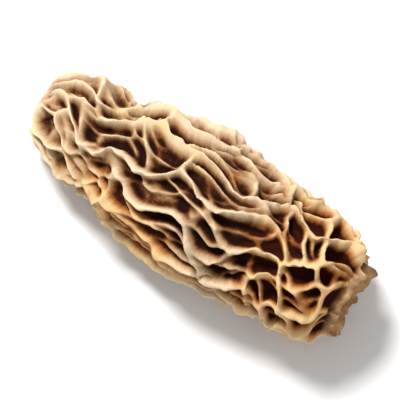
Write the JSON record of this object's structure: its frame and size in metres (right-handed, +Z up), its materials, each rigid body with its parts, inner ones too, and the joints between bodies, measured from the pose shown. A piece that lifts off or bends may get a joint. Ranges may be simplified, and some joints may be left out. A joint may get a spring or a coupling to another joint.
{
  "type": "dried morel mushroom",
  "caption": "Dried hollow mushroom cap covered by a raised net of ridges and pits, lying on its side, with its short hollow stem cut off under the cap.",
  "frame": {"origin": "bottom centre of the bounding box, on the surface that the morel lies on", "axes": "+X along the morel from the tip of the cap to the cut stem, +Z up"},
  "size_m": [0.0458, 0.0194, 0.0146],
  "materials": {
    "dried_morel": "matte"
  },
  "bodies": {
    "root": {"morel": "dried_morel"}
  },
  "joints": []
}
